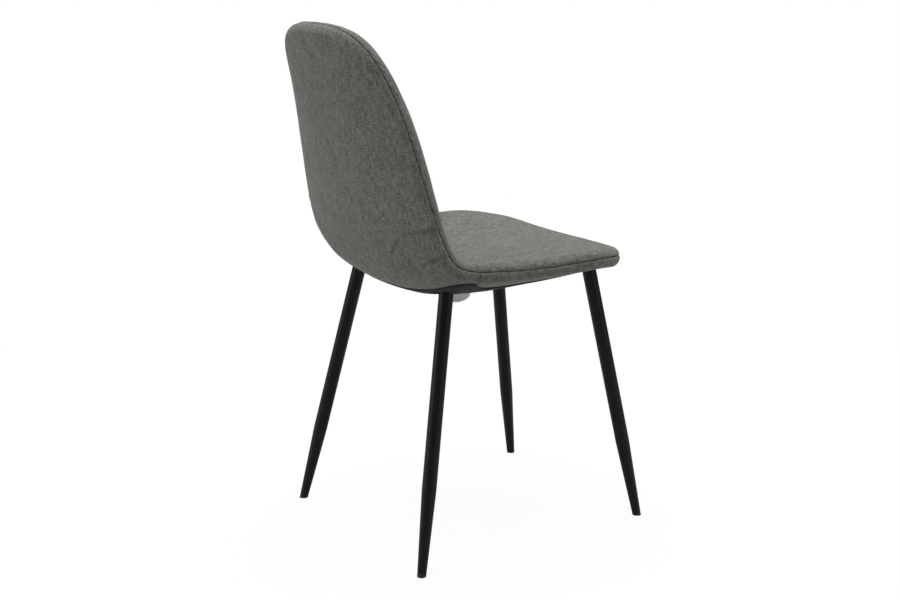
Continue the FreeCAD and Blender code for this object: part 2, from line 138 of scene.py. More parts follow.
def shellEdges(across, along):
    # front, right, top and left edges of the outline, turning one way
    angle = np.linspace(0, math.pi / 2, 241)
    low = shell["frontRound"] * (1 - np.cos(angle) ** (2 / shell["frontSquare"]))
    front = np.stack([np.sin(angle) ** (2 / shell["frontSquare"]) * halfWidthAt(low / lineLength), low], -1)
    high = lineLength - shell["topRound"] * (1 - np.sin(angle) ** (2 / shell["topSquare"]))
    top = np.stack([np.cos(angle) ** (2 / shell["topSquare"]) * halfWidthAt(high / lineLength), high], -1)
    run = np.linspace(shell["frontRound"], lineLength - shell["topRound"], 241)[1:-1]
    side = np.stack([halfWidthAt(run / lineLength), run], -1)
    mirror = np.array([-1, 1])
    wholeFront = np.concatenate([front[120::-1] * mirror, front[1:121]])
    right = np.concatenate([front[120:], side, top[:121]])
    wholeTop = np.concatenate([top[120:], top[-2:119:-1] * mirror])
    return [spread(wholeFront, across), spread(right, along), spread(wholeTop, across),
            spread(right[::-1] * mirror, 1 - np.array(along)[::-1])]


def insetEdges(edges, distance, height):
    loop = np.concatenate([edge[:-1] for edge in edges])
    point, normal, sideways, lengthways = skinFrame(loop[:, 0], loop[:, 1])
    spot = point + normal * height
    outward = np.cross(np.roll(spot, -1, 0) - np.roll(spot, 1, 0), normal)
    outward /= np.linalg.norm(outward, axis=1, keepdims=True)
    e = (sideways * sideways).sum(1)
    f = (sideways * lengthways).sum(1)
    g = (lengthways * lengthways).sum(1)
    p = -distance * (outward * sideways).sum(1)
    q = -distance * (outward * lengthways).sum(1)
    scale = 0.001 / (e * g - f * f)
    moved = loop + np.stack([scale * (g * p - f * q), scale * (e * q - f * p)], -1)
    result = []
    start = 0
    for edge in edges:
        result.append(moved[np.arange(start, start + len(edge)) % len(loop)])
        start += len(edge) - 1
    return result


class Grid:
    # a grid over the skin inside four edges, with the directions out of its border

    def __init__(self, edges, across, along):
        front, right, top, left = edges
        u = np.array(across)[:, None, None]
        v = np.array(along)[None, :, None]
        backTop = top[::-1]
        upLeft = left[::-1]
        flat = (1 - v) * front[:, None] + v * backTop[:, None] + (1 - u) * upLeft[None] + u * right[None]
        flat = flat - (1 - u) * ((1 - v) * front[0] + v * backTop[0])
        flat = flat - u * ((1 - v) * front[-1] + v * backTop[-1])
        self.u = 2 * u[..., 0] - 1 + 0 * v[..., 0]
        self.v = 2 * v[..., 0] - 1 + 0 * u[..., 0]
        self.flat = flat
        self.point, self.normal = skinFrame(flat[..., 0], flat[..., 1])[:2]
        n, m = flat.shape[:2]
        self.shape = (n, m)
        self.index = np.arange(n * m).reshape(n, m)
        self.loop = np.concatenate(
            [self.index[:-1, 0], self.index[-1, :-1], self.index[:0:-1, -1], self.index[0, :0:-1]])
        self.ringPoint = self.point.reshape(-1, 3)[self.loop]
        self.ringNormal = self.normal.reshape(-1, 3)[self.loop]
        self.ringFlat = flat.reshape(-1, 2)[self.loop]
        ring = self.ringPoint + self.ringNormal * shell["thickness"] / 2
        outward = np.cross(np.roll(ring, -1, 0) - np.roll(ring, 1, 0), self.ringNormal)
        self.outward = outward / np.linalg.norm(outward, axis=1, keepdims=True)


# Unevenness of cloth

def noise(x, y, size, seed):
    # smooth values from -1 to 1 that change over about this size
    values = np.random.RandomState(seed).uniform(-1, 1, (64, 64))
    x = np.asarray(x) / size + 32
    y = np.asarray(y) / size + 32
    i = np.floor(x).astype(int)
    j = np.floor(y).astype(int)
    s = x - i
    t = y - j
    s = s * s * (3 - 2 * s)
    t = t * t * (3 - 2 * t)

    def at(p, q):
        return values[p % 64, q % 64]
    low = at(i, j) * (1 - s) + at(i + 1, j) * s
    high = at(i, j + 1) * (1 - s) + at(i + 1, j + 1) * s
    return low * (1 - t) + high * t


def roll(distance, radius):
    # how far a rolled edge has turned down at a distance from its seam
    short = np.clip(radius - distance, 0, radius)
    return radius - np.sqrt(radius ** 2 - short ** 2)


# Folds at the bend of the back: points on the cloth, half width, depth, and height of the ridge
folds = [
    ([(-0.212, 0.190, 0.567), (-0.1967, 0.2084, 0.565), (-0.1664, 0.2187, 0.5563), (-0.1537, 0.222, 0.5513)],
     0.0026, 0.0043, 0.0029),
    ([(-0.1537, 0.222, 0.5513), (-0.1362, 0.2243, 0.539), (-0.1239, 0.2244, 0.5273), (-0.1092, 0.2214, 0.5081),
      (-0.1059, 0.2141, 0.4902), (-0.1051, 0.2064, 0.4776)], 0.0036, 0.0023, 0.0016),
    ([(-0.216, 0.176, 0.526), (-0.2035, 0.1947, 0.5205), (-0.1867, 0.1988, 0.5116), (-0.173, 0.2013, 0.5045),
      (-0.1582, 0.2032, 0.4972)], 0.0028, 0.0038, 0.0026),
    ([(-0.205, 0.214, 0.598), (-0.189, 0.222, 0.592), (-0.172, 0.226, 0.583)], 0.0030, 0.0020, 0.0014),
    ([(0.213, 0.187, 0.556), (0.195, 0.206, 0.552), (0.168, 0.216, 0.541), (0.150, 0.219, 0.534)],
     0.0042, 0.0012, 0.0008),
    ([(0.217, 0.172, 0.517), (0.203, 0.191, 0.511), (0.184, 0.196, 0.503), (0.166, 0.199, 0.494)],
     0.0045, 0.0010, 0.0007),
    ([(0.150, 0.219, 0.534), (0.128, 0.221, 0.519), (0.112, 0.216, 0.498)], 0.0050, 0.0013, 0.0012),
]


def foldHeight(points):
    height = np.zeros(len(points))
    for line, width, depth, ridge in folds:
        line = np.array(line) + np.array([0, middleY, 0])
        lengths = np.linalg.norm(np.diff(line, axis=0), axis=1)
        run = lengths.sum()
        nearest = np.full(len(points), 1.0)
        place = np.zeros(len(points))
        side = np.zeros(len(points))
        start = 0.0
        for first, second, length in zip(line, line[1:], lengths):
            direction = (second - first) / length
            share = np.clip((points - first) @ direction, 0, length)
            away = points - first - share[:, None] * direction
            distance = np.linalg.norm(away, axis=1)
            closer = distance < nearest
            nearest = np.where(closer, distance, nearest)
            place = np.where(closer, (start + share) / run, place)
            side = np.where(closer, np.sign(away[:, 2]), side)
            start += length
        fade = np.sin(np.pi * np.clip(0.12 + 0.76 * place, 0, 1)) * (1 - 0.45 * place)
        height -= depth * fade * np.exp(-(nearest / width) ** 2)
        height += ridge * fade * np.exp(-((nearest * side - 1.9 * width) / (1.0 * width)) ** 2)
    return height


# Meshes

def meshPiece(name, points, faces, cloth):
    used = np.unique(np.concatenate([np.ravel(face) for face in faces]))
    place = np.full(len(points), -1)
    place[used] = np.arange(len(used))
    lists = []
    for face in faces:
        lists.extend(place[face].tolist())
    mesh = bpy.data.meshes.new(name)
    mesh.from_pydata(points[used].tolist(), [], lists)
    mesh.validate()
    mesh.shade_smooth()
    stored = mesh.attributes.new("cloth", "FLOAT_VECTOR", "POINT")
    flat = np.concatenate([cloth[used], np.zeros((len(used), 1))], 1)
    stored.data.foreach_set("vector", flat.astype(np.float32).ravel())
    piece = bpy.data.objects.new(name, mesh)
    bpy.context.scene.collection.objects.link(piece)
    return piece


def ladder(first, second):
    return np.stack([first[:-1], second[:-1], second[1:], first[1:]], -1)


def stations(count, extra=()):
    even = np.linspace(0, 1, count)
    return np.unique(np.concatenate([even, extra]))


seam = {
    "angles": [70, 91, 110, 82, 137, 120, 88],
    "gap": 0.0007,
    "roll": 0.0022,
    "depth": 0.007,
    "puff": 0.0006,
    "pucker": 0.00045,
    "uprightY": 0.128,
}

degreeLength = math.pi / 180 * (shell["rimReach"] + shell["thickness"] / 2) / 2


def rimStations(grid, first):
    # angles round the rim at each place of its loop, closer together towards the seam,
    # and their distances from it
    last = law(seam["angles"], np.clip(grid.ringFlat[:, 1] / lineLength, 0, 1))
    closest = np.array([0.0, 0.0002, 0.0006, 0.0012, 0.0021, 0.0032, 0.0046, 0.0064])
    sign = 1 if first < 90 else -1
    near = last - sign * (closest[:, None] + seam["gap"] / 2) / degreeLength
    shares = np.linspace(0, 1, 12)[:-1, None]
    angles = np.concatenate([first + (near[-1] - first) * shares, near[::-1]])
    return angles, np.abs(last - angles) * degreeLength - seam["gap"] / 2


class PadShape:
    # closed form between an outer face and an inner face, its rim rolled in at the seam

    def __init__(self, grid, outer, angles, away, inner, sign):
        n, m = grid.shape
        half = shell["thickness"] / 2
        self.grid = grid
        self.sign = sign
        points = [(grid.point + grid.normal * outer[..., None]).reshape(-1, 3)]
        normals = [grid.normal.reshape(-1, 3) * sign]
        cloth = [grid.flat.reshape(-1, 2)]
        fromSeam = [np.full(n * m, 0.05)]
        count = len(grid.loop)
        self.around = np.concatenate(
            [[0], np.cumsum(np.linalg.norm(np.diff(grid.ringPoint, axis=0), axis=1))])
        travelled = np.zeros((count, 1))
        outwards = self.flatOutward()
        angles = np.radians(angles)[:, :, None]
        reach = shell["rimReach"] * np.sin(angles)
        heights = half + half * np.cos(angles)
        for k in range(1, len(angles)):
            travelled = travelled + np.hypot(reach[k] - reach[k - 1], heights[k] - heights[k - 1])
            normal = grid.outward * np.sin(angles[k]) * half
            normal = normal + grid.ringNormal * np.cos(angles[k]) * shell["rimReach"]
            points.append(grid.ringPoint + grid.ringNormal * heights[k] + grid.outward * reach[k])
            normals.append(normal / np.linalg.norm(normal, axis=1, keepdims=True))
            cloth.append(grid.ringFlat + travelled * outwards)
            fromSeam.append(away[k])
        tuckOut = reach[-1] - seam["depth"] * np.sin(angles[-1])
        tuckHeight = half + (half - seam["depth"]) * np.cos(angles[-1])
        points.append(grid.ringPoint + grid.ringNormal * tuckHeight + grid.outward * tuckOut)
        normals.append(np.zeros((count, 3)))
        cloth.append(grid.ringFlat + travelled * outwards)
        fromSeam.append(np.full(count, 0.05))
        self.rings = len(points) - 1
        self.innerStart = n * m + self.rings * count
        points.append((grid.point + grid.normal * inner[..., None]).reshape(-1, 3))
        normals.append(np.zeros((n * m, 3)))
        cloth.append(grid.flat.reshape(-1, 2))
        fromSeam.append(np.full(n * m, 0.05))
        self.points = np.concatenate(points)
        self.normals = np.concatenate(normals)
        self.cloth = np.concatenate(cloth)
        self.fromSeam = np.concatenate(fromSeam)

    def flatOutward(self):
        loop = self.grid.ringFlat
        turn = np.roll(loop, -1, 0) - np.roll(loop, 1, 0)
        outward = np.stack([turn[:, 1], -turn[:, 0]], -1)
        return outward / np.linalg.norm(outward, axis=1, keepdims=True)

    def raiseBy(self, height):
        self.points = self.points + self.normals * height[:, None]

    def rollSeam(self, seed):
        distance = self.fromSeam
        near = np.exp(-(distance / 0.009) ** 2)
        x, y = self.cloth.T
        pucker = noise(x, y, 0.011, seed) * 0.7 + noise(x, y, 0.0055, seed + 1) * 0.4
        puff = seam["puff"] * np.exp(-((distance - 0.0055) / 0.0035) ** 2)
        self.raiseBy(puff + seam["pucker"] * pucker * near - roll(distance, seam["roll"]))

    def ring(self, k):
        count = len(self.grid.loop)
        if k == 0:
            return self.grid.loop
        if k > self.rings:
            return self.innerStart + self.grid.loop
        return self.grid.shape[0] * self.grid.shape[1] + (k - 1) * count + np.arange(count)

    def faces(self, rows, opening=None):
        # faces of these rows, the cut ends closed
        first, last = rows
        n, m = self.grid.shape
        index = self.grid.index[:, first:last + 1]
        corners = np.stack([index[:-1, :-1], index[1:, :-1], index[1:, 1:], index[:-1, 1:]], -1)
        keep = np.ones(corners.shape[:2], bool)
        if opening is not None:
            keep = ~opening[:, first:last]
        parts = [corners[keep], corners[keep][:, ::-1] + self.innerStart]
        parts.extend(self.openingWalls(corners, keep))
        count = len(self.grid.loop)
        row = np.concatenate([np.zeros(n - 1, int), np.arange(m - 1), np.full(n - 1, m - 1), np.arange(m - 1, 0, -1)])
        after = np.roll(row, -1)
        inside = (np.minimum(row, after) >= first) & (np.maximum(row, after) <= last)
        inside &= ~((row == after) & (row != 0) & (row != m - 1))
        index = np.nonzero(inside)[0]
        following = (index + 1) % count
        for k in range(self.rings + 1):
            one = self.ring(k)
            two = self.ring(k + 1)
            parts.append(np.stack([one[index], two[index], two[following], one[following]], -1))
        for end, flip in ((first, False), (last, True)):
            if 0 < end < m - 1:
                parts.extend(self.endCap(end, flip))
        if self.sign < 0:
            parts = [part[:, ::-1] for part in parts]
        return parts

    def openingWalls(self, corners, keep):
        walls = []
        padded = np.pad(keep, 1, constant_values=True)
        hole = ~padded
        for di, dj, one, two in ((1, 0, 1, 2), (-1, 0, 3, 0), (0, 1, 2, 3), (0, -1, 0, 1)):
            beside = np.roll(padded, (-di, -dj), (0, 1))
            edge = (hole & beside)[1:-1, 1:-1]
            start = corners[edge][:, one]
            stop = corners[edge][:, two]
            walls.append(np.stack([start, stop, stop + self.innerStart, start + self.innerStart], -1))
        return walls

    def endCap(self, row, flip):
        n, m = self.grid.shape
        outer = self.grid.index[:, row]
        quads = ladder(outer, outer + self.innerStart)
        right = n - 1 + row
        left = (n - 1) + (m - 1) + (n - 1) + (m - 1 - row)
        caps = [quads if flip else quads[:, ::-1]]
        for place, turn in ((right, True), (left, False)):
            ends = np.array([[self.ring(k)[place] for k in range(self.rings + 2)]])
            caps.append(ends if turn != flip else ends[:, ::-1])
        return caps


def makeGrid(across, along):
    edges = insetEdges(shellEdges(across, along), shell["rimReach"], shell["thickness"] / 2)
    return Grid(edges, across, along)


def uprightPlace():
    # share along the sides where the upright seams stand
    along = np.linspace(0, 1, 201)
    side = makeGrid(np.linspace(0, 1, 9), along).point[0, :, 1]
    return float(np.interp(seam["uprightY"] + middleY, side[:100], along[:100]))


upright = uprightPlace()
upSteps = np.array([0.0008, 0.0016, 0.0026, 0.0042]) / lineLength
rowsAlong = stations(301, np.concatenate([upright - upSteps, [upright], upright + upSteps]))
panel = makeGrid(stations(161), rowsAlong)
uprightRow = int(np.argmin(np.abs(rowsAlong - upright)))
print("skin made, upright seams at row", uprightRow)


# Front pad: foam and cloth on the sitter's side

frontPad = {
    "name": "frontPad",
    "floor": 0.0145,
    "swell": 0.004,
    "pressure": 0.085,
    "frames": 20,
    "uneven": 0.0005,
    "fullCorner": (0.150, 0.045, 0.050, 0.0040),
    "fill": 0.85,
}


def swollen(grid):
    # how far the taut cover rises over its foam, from a pressed cloth held at its rim
    n, m = 29, 53
    rows = np.linspace(0, grid.shape[0] - 1, n).round().astype(int)
    columns = np.linspace(0, grid.shape[1] - 1, m).round().astype(int)
    base = (grid.point + grid.normal * shell["thickness"])[rows][:, columns]
    floor = (grid.point + grid.normal * frontPad["floor"])[rows][:, columns]
    index = np.arange(n * m).reshape(n, m)
    quads = np.stack([index[:-1, :-1], index[1:, :-1], index[1:, 1:], index[:-1, 1:]], -1).reshape(-1, 4)
    ring = np.concatenate([index[:-1, 0], index[-1, :-1], index[:0:-1, -1], index[0, :0:-1]])
    sides = np.stack([ring, ring + n * m, np.roll(ring, -1) + n * m, np.roll(ring, -1)], -1)
    mesh = bpy.data.meshes.new("swelling")
    points = np.concatenate([base.reshape(-1, 3), floor.reshape(-1, 3)])
    mesh.from_pydata(points.tolist(), [], quads.tolist() + (quads[:, ::-1] + n * m).tolist() + sides.tolist())
    form = bpy.data.objects.new("swelling", mesh)
    bpy.context.scene.collection.objects.link(form)
    held = form.vertex_groups.new(name="held")
    held.add([int(k) for k in np.concatenate([np.arange(n * m, 2 * n * m), ring])], 1.0, "REPLACE")
    cloth = form.modifiers.new("swelling", "CLOTH")
    cloth.settings.quality = 6
    cloth.settings.mass = 0.25
    cloth.settings.tension_stiffness = 12
    cloth.settings.compression_stiffness = 12
    cloth.settings.shear_stiffness = 6
    cloth.settings.bending_stiffness = 1.5
    cloth.settings.use_pressure = True
    cloth.settings.uniform_pressure_force = frontPad["pressure"]
    cloth.settings.vertex_group_mass = "held"
    cloth.settings.effector_weights.gravity = 0
    cloth.point_cache.frame_start = 1
    cloth.point_cache.frame_end = frontPad["frames"]
    for step in range(1, frontPad["frames"] + 1):
        bpy.context.scene.frame_set(step)
    result = form.evaluated_get(bpy.context.evaluated_depsgraph_get()).to_mesh()
    moved = np.zeros(len(points) * 3, np.float32)
    result.vertices.foreach_get("co", moved)
    moved = moved.reshape(-1, 3)[:n * m].reshape(n, m, 3)
    bpy.data.objects.remove(form)
    bpy.context.scene.frame_set(1)
    lift = ((moved - base) * grid.normal[rows][:, columns]).sum(-1)
    print("front pad swelled by up to", round(float(lift.max()) * 1000, 1), "mm")
    part = np.stack([np.interp(np.arange(grid.shape[1]), columns, line) for line in lift])
    return np.stack([np.interp(np.arange(grid.shape[0]), rows, line) for line in part.T], 1)


def makeFrontPad():
    rise = swollen(panel)
    border = np.minimum(1 - np.abs(panel.u), (1 - np.abs(panel.v)) * 1.8)
    rise = rise * np.clip(border / 0.12, 0, 1)
    angles, away = rimStations(panel, 0)
    shape = PadShape(panel, shell["thickness"] + rise, angles, away,
                     np.full(panel.shape, frontPad["floor"]), 1)
    x, y = shape.cloth.T
    atA, atB, wide, high = frontPad["fullCorner"]
    full = high * np.exp(-((x - atA) ** 2 + (y - atB) ** 2) / wide ** 2)
    full = full * np.clip(shape.fromSeam / 0.012, 0, 1)
    shape.raiseBy(full + frontPad["uneven"] * (noise(x, y, 0.055, 3) + 0.5 * noise(x, y, 0.024, 4)))
    shape.rollSeam(11)
    return meshPiece(frontPad["name"], shape.points, shape.faces((0, panel.shape[1] - 1)), shape.cloth)


# Rear panel and seat border: thin foam and cloth behind and under the shell

rearPanel = {
    "name": "rearPanel",
    "floor": 0.0075,
    "uneven": 0.00045,
    "uprightRoll": 0.0024,
    "uprightGap": 0.0006,
    "uprightDip": 0.0009,
}
hem = {
    "halfWidth": 0.1636,
    "front": 0.051,
    "rear": 0.3905,
    "corner": 0.020,
}


def insideHem(a, b, grow):
    # true within the rounded opening under the seat
    corner = hem["corner"] + grow
    middle = (hem["front"] + hem["rear"]) / 2
    x = np.abs(a) - (hem["halfWidth"] + grow - corner)
    y = np.abs(b - middle) - ((hem["rear"] - hem["front"]) / 2 + grow - corner)
    return np.hypot(np.maximum(x, 0), np.maximum(y, 0)) + np.minimum(np.maximum(x, y), 0) < corner


def makeRearPieces():
    row = uprightRow
    middle = (panel.flat[:-1, :-1] + panel.flat[1:, 1:]) / 2
    opening = insideHem(middle[..., 0], middle[..., 1], 0)
    pieces = []
    last = panel.shape[1] - 1
    for name, rows, seed in ((rearPanel["name"], (row, last), 21), ("seatBorder", (0, row), 31)):
        angles, away = rimStations(panel, 180)
        shape = PadShape(panel, np.zeros(panel.shape), angles, away,
                         np.full(panel.shape, rearPanel["floor"]), -1)
        x, y = shape.cloth.T
        uneven = rearPanel["uneven"] * (noise(x, y, 0.06, seed) + 0.6 * noise(x, y, 0.025, seed + 1))
        shape.raiseBy(uneven + foldHeight(shape.points))
        shape.rollSeam(seed + 2)
        away = y - np.interp(x, panel.flat[:, row, 0], panel.flat[:, row, 1])
        distance = np.abs(away)
        rolled = roll(distance, rearPanel["uprightRoll"])
        pucker = 0.0003 * noise(x, y, 0.007, seed + 4) * np.exp(-(distance / 0.008) ** 2)
        dip = rearPanel["uprightDip"] * np.exp(-(distance / 0.006) ** 2)
        shape.raiseBy(pucker - dip - rolled)
        apart = rearPanel["uprightGap"] * np.exp(-(distance / 0.002) ** 2)
        shape.points[:, 1] += apart if rows[0] else -apart
        pieces.append(meshPiece(name, shape.points, shape.faces(rows, opening), shape.cloth))
    return pieces


# Dust cover

dustCover = {
    "name": "dustCover",
    "overlap": 0.007,
    "gap": 0.0009,
    "thickness": 0.0008,
    "sag": 0.006,
    "slack": 0.0024,
    "flat": (0.425, 0.354),
    "plateGap": 0.002,
    "archPlace": 0.374,
    "archFront": 0.040,
    "archRear": 0.050,
    "archReach": 0.042,
}


def roundedRectangle(half, front, rear, corner, across, along):
    def arc(centreA, centreB, first):
        angle = np.radians(np.linspace(first, first + 45, 9))
        return np.stack([centreA + corner * np.cos(angle), centreB + corner * np.sin(angle)], -1)
    inner = half - corner
    low = front + corner
    high = rear - corner
    return [
        spread(np.concatenate([arc(-inner, low, 225), arc(inner, low, 270)]), across),
        spread(np.concatenate([arc(inner, low, 315), arc(inner, high, 0)]), along),
        spread(np.concatenate([arc(inner, high, 45), arc(-inner, high, 90)]), across),
        spread(np.concatenate([arc(-inner, high, 135), arc(-inner, low, 180)]), along)]


def makeDustCover():
    across = np.linspace(0, 1, 89)
    along = np.linspace(0, 1, 89)
    grow = dustCover["overlap"]
    edges = roundedRectangle(hem["halfWidth"] + grow, hem["front"] - grow, hem["rear"] + grow,
                             hem["corner"] + grow, across, along)
    for k in (1, 3):
        behind = edges[k][:, 1] - dustCover["archPlace"]
        width = np.where(behind > 0, dustCover["archRear"], dustCover["archFront"])
        arch = np.exp(-(behind / width) ** 2)
        edges[k][:, 0] *= 1 + arch * dustCover["archReach"] / hem["halfWidth"]
    grid = Grid(edges, across, along)
    x, y = grid.flat[..., 0], grid.flat[..., 1]
    free = (np.cos(math.pi / 2 * grid.u) * np.cos(math.pi / 2 * grid.v)) ** 1.4 * (0.8 + 0.4 * grid.v)
    border = np.minimum(1 - np.abs(grid.u), 1 - np.abs(grid.v))
    slack = dustCover["slack"] * np.clip(border / 0.14, 0, 1) * np.clip(grid.v / 0.5, 0, 1)
    drop = dustCover["sag"] * free + slack
    drop = drop + np.sqrt(np.clip(free, 0, 1)) * (0.0012 * noise(x, y, 0.045, 41) + 0.0006 * noise(x, y, 0.018, 42))
    low = -dustCover["gap"] - np.maximum(drop, 0)
    outer = (grid.point + grid.normal * (low - dustCover["thickness"])[..., None]).reshape(-1, 3)
    inner = (grid.point + grid.normal * low[..., None]).reshape(-1, 3)
    count = len(outer)
    index = grid.index
    corners = np.stack([index[:-1, :-1], index[1:, :-1], index[1:, 1:], index[:-1, 1:]], -1).reshape(-1, 4)
    ring = grid.loop
    after = np.roll(ring, -1)
    sides = np.stack([ring, after, after + count, ring + count], -1)
    flat = grid.flat.reshape(-1, 2)
    piece = meshPiece(dustCover["name"], np.concatenate([outer, inner]),
                      [corners[:, ::-1], corners + count, sides], np.concatenate([flat, flat]))
    for name in sorted(nodes):
        if name.startswith("leg_plate_"):
            cutAround(piece, nodes[name])
    return piece


def cutAround(piece, plate):
    # opens the cloth around one leg plate
    points = np.array([plate.matrix_world @ v.co for v in plate.data.vertices])
    centre = (points.max(0) + points.min(0)) / 2
    spreadOf = np.linalg.svd(points - points.mean(0), full_matrices=False)[2]
    normal = spreadOf[2] * np.sign(spreadOf[2][2])
    side = np.array([1.0, 0, 0]) - normal * normal[0]
    side /= np.linalg.norm(side)
    other = np.cross(normal, side)
    reachA = np.abs((points - centre) @ side).max() + dustCover["plateGap"]
    reachB = np.abs((points - centre) @ other).max() + dustCover["plateGap"]
    ring = []
    for k in range(48):
        angle = 2 * math.pi * (k + 0.5) / 48
        c, s = math.cos(angle), math.sin(angle)
        bend = (abs(c) ** 6 + abs(s) ** 6) ** (-1 / 6)
        ring.append(side * reachA * bend * c + other * reachB * bend * s)
    low = [centre + p - normal * 0.04 for p in ring]
    high = [centre + p + normal * 0.04 for p in ring]
    count = len(ring)
    faces = [list(range(count))[::-1], list(range(count, 2 * count))]
    faces += [[k, (k + 1) % count, (k + 1) % count + count, k + count] for k in range(count)]
    mesh = bpy.data.meshes.new("cutter")
    mesh.from_pydata([tuple(p) for p in low + high], [], faces)
    cutter = bpy.data.objects.new("cutter", mesh)
    bpy.context.scene.collection.objects.link(cutter)
    change = piece.modifiers.new("cut", "BOOLEAN")
    change.object = cutter
    change.operation = "DIFFERENCE"
    change.solver = "EXACT"
    result = bpy.data.meshes.new_from_object(piece.evaluated_get(bpy.context.evaluated_depsgraph_get()))
    piece.modifiers.clear()
    old = piece.data
    piece.data = result
    bpy.data.meshes.remove(old)
    bpy.data.objects.remove(cutter)


# Blank label

label = {
    "name": "blankLabel",
    "width": 0.032,
    "drop": 0.017,
    "straight": 0.006,
    "thickness": 0.0005,
    "curl": 0.0016,
}


def makeLabel():
    low, high = (np.array(c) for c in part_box("care_label"))
    centre = (low + high) / 2
    along = np.array([high[0] - low[0], high[1] - low[1], 0])
    along /= np.linalg.norm(along)
    face = np.array([-along[1], along[0], 0])
    n, m = 25, 19
    t = np.linspace(-1, 1, n)
    points = []
    cloth = []
    for layer in (0, 1):
        for i in range(n):
            x = t[i] * label["width"] / 2
            over = min(max(label["width"] / 2 - label["straight"] - x, 0) / (label["width"] - label["straight"]), 1)
            depth = label["drop"] * (0.12 + 0.88 * math.sqrt(1 - over ** 2))
            for j in range(m):
                z = -depth * j / (m - 1)
                share = -z / label["drop"]
                bend = label["curl"] * (math.sin(x / label["width"] * 5 + 0.6) * share + 1.3 * share ** 2 - share)
                offset = face * (bend + (layer - 0.5) * label["thickness"])
                points.append(np.array([centre[0], centre[1], high[2]]) + along * x * 0.985 + offset
                              + np.array([0, 0, z]))
                cloth.append((x, z))
    count = n * m
    index = np.arange(count).reshape(n, m)
    corners = np.stack([index[:-1, :-1], index[1:, :-1], index[1:, 1:], index[:-1, 1:]], -1).reshape(-1, 4)
    ring = np.concatenate([index[:-1, 0], index[-1, :-1], index[:0:-1, -1], index[0, :0:-1]])
    after = np.roll(ring, -1)
    sides = np.stack([ring, ring + count, after + count, after], -1)
    return meshPiece(label["name"], np.array(points), [corners, corners[:, ::-1] + count, sides], np.array(cloth))


# Materials

def newMaterial(name):
    material = bpy.data.materials.new(name)
    material.use_nodes = True
    return material, material.node_tree.nodes["Principled BSDF"]


def addNode(material, kind, values=None, links=None, **settings):
    node = material.node_tree.nodes.new(kind)
    for key, value in settings.items():
        setattr(node, key, value)
    for key, value in (values or {}).items():
        node.inputs[key].default_value = value
    for key, source in (links or {}).items():
        material.node_tree.links.new(source, node.inputs[key])
    return node


def ramp(material, source, stops):
    node = addNode(material, "ShaderNodeValToRGB", links={0: source})
    elements = node.color_ramp.elements
    while len(elements) < len(stops):
        elements.new(0.5)
    for element, (place, colour) in zip(elements, stops):
        element.position = place
        element.color = (*colour, 1)
    return node.outputs["Color"]


def math2(material, operation, first, second):
    node = addNode(material, "ShaderNodeMath", operation=operation)
    for k, value in enumerate((first, second)):
        if isinstance(value, (int, float)):
            node.inputs[k].default_value = value
        else:
            material.node_tree.links.new(value, node.inputs[k])
    return node.outputs[0]


greyCloth = {
    "dark": (0.082, 0.084, 0.074),
    "light": (0.208, 0.211, 0.189),
    "threadPitch": 0.0014,
    "slubLength": 0.0130,
    "slubWidth": 0.0014,
}


def stretchedNoise(material, place, width, length, detail, seed):
    scaled = addNode(material, "ShaderNodeMapping", {"Scale": (1 / width, 1 / length, 1), "Location": (seed, 2 * seed, 0)},
                     {"Vector": place})
    return addNode(material, "ShaderNodeTexNoise", {"Scale": 1.0, "Detail": detail, "Roughness": 0.55},
                   {"Vector": scaled.outputs[0]}).outputs[0]


def clothMaterial(name, tone):
    material, shader = newMaterial(name)
    place = addNode(material, "ShaderNodeAttribute", attribute_name="cloth").outputs["Vector"]
    warp = stretchedNoise(material, place, greyCloth["slubWidth"], greyCloth["slubLength"], 1, 3)
    weft = stretchedNoise(material, place, greyCloth["slubLength"], greyCloth["slubWidth"], 1, 7)
    streak = stretchedNoise(material, place, greyCloth["slubWidth"] * 1.8, greyCloth["slubLength"] * 3, 1, 11)
    cloud = stretchedNoise(material, place, 0.025, 0.05, 3, 5)
    mixed = math2(material, "ADD", math2(material, "MULTIPLY", warp, 0.38), math2(material, "MULTIPLY", weft, 0.34))
    mixed = math2(material, "ADD", mixed, math2(material, "MULTIPLY", streak, 0.18))
    mixed = math2(material, "ADD", mixed, math2(material, "MULTIPLY", cloud, 0.10))
    waves = []
    for direction in ("X", "Y"):
        wave = addNode(material, "ShaderNodeTexWave", {
            "Scale": 0.314 / greyCloth["threadPitch"], "Distortion": 1.2, "Detail": 2.0, "Detail Scale": 1.5},
            {"Vector": place}, bands_direction=direction)
        waves.append(wave.outputs["Fac"])
    weave = math2(material, "MULTIPLY", waves[0], waves[1])
    tint = math2(material, "ADD", mixed, math2(material, "MULTIPLY", math2(material, "SUBTRACT", weave, 0.25), 0.10))
    dark = tuple(tone * c for c in greyCloth["dark"])
    light = tuple(tone * c for c in greyCloth["light"])
    colour = ramp(material, tint, [(0.44, dark), (0.58, light)])
    links = material.node_tree.links
    links.new(colour, shader.inputs["Base Color"])
    rough = addNode(material, "ShaderNodeMapRange", {"To Min": 0.78, "To Max": 0.98}, {"Value": mixed})
    links.new(rough.outputs[0], shader.inputs["Roughness"])
    shader.inputs["Specular IOR Level"].default_value = 0.25
    shader.inputs["Sheen Weight"].default_value = 0.18
    shader.inputs["Sheen Roughness"].default_value = 0.45
    shader.inputs["Sheen Tint"].default_value = (0.8, 0.8, 0.78, 1)
    height = math2(material, "ADD", math2(material, "MULTIPLY", weave, 0.6), mixed)
    bump = addNode(material, "ShaderNodeBump", {"Strength": 0.55, "Distance": 0.0007}, {"Height": height})
    links.new(bump.outputs[0], shader.inputs["Normal"])
    return material


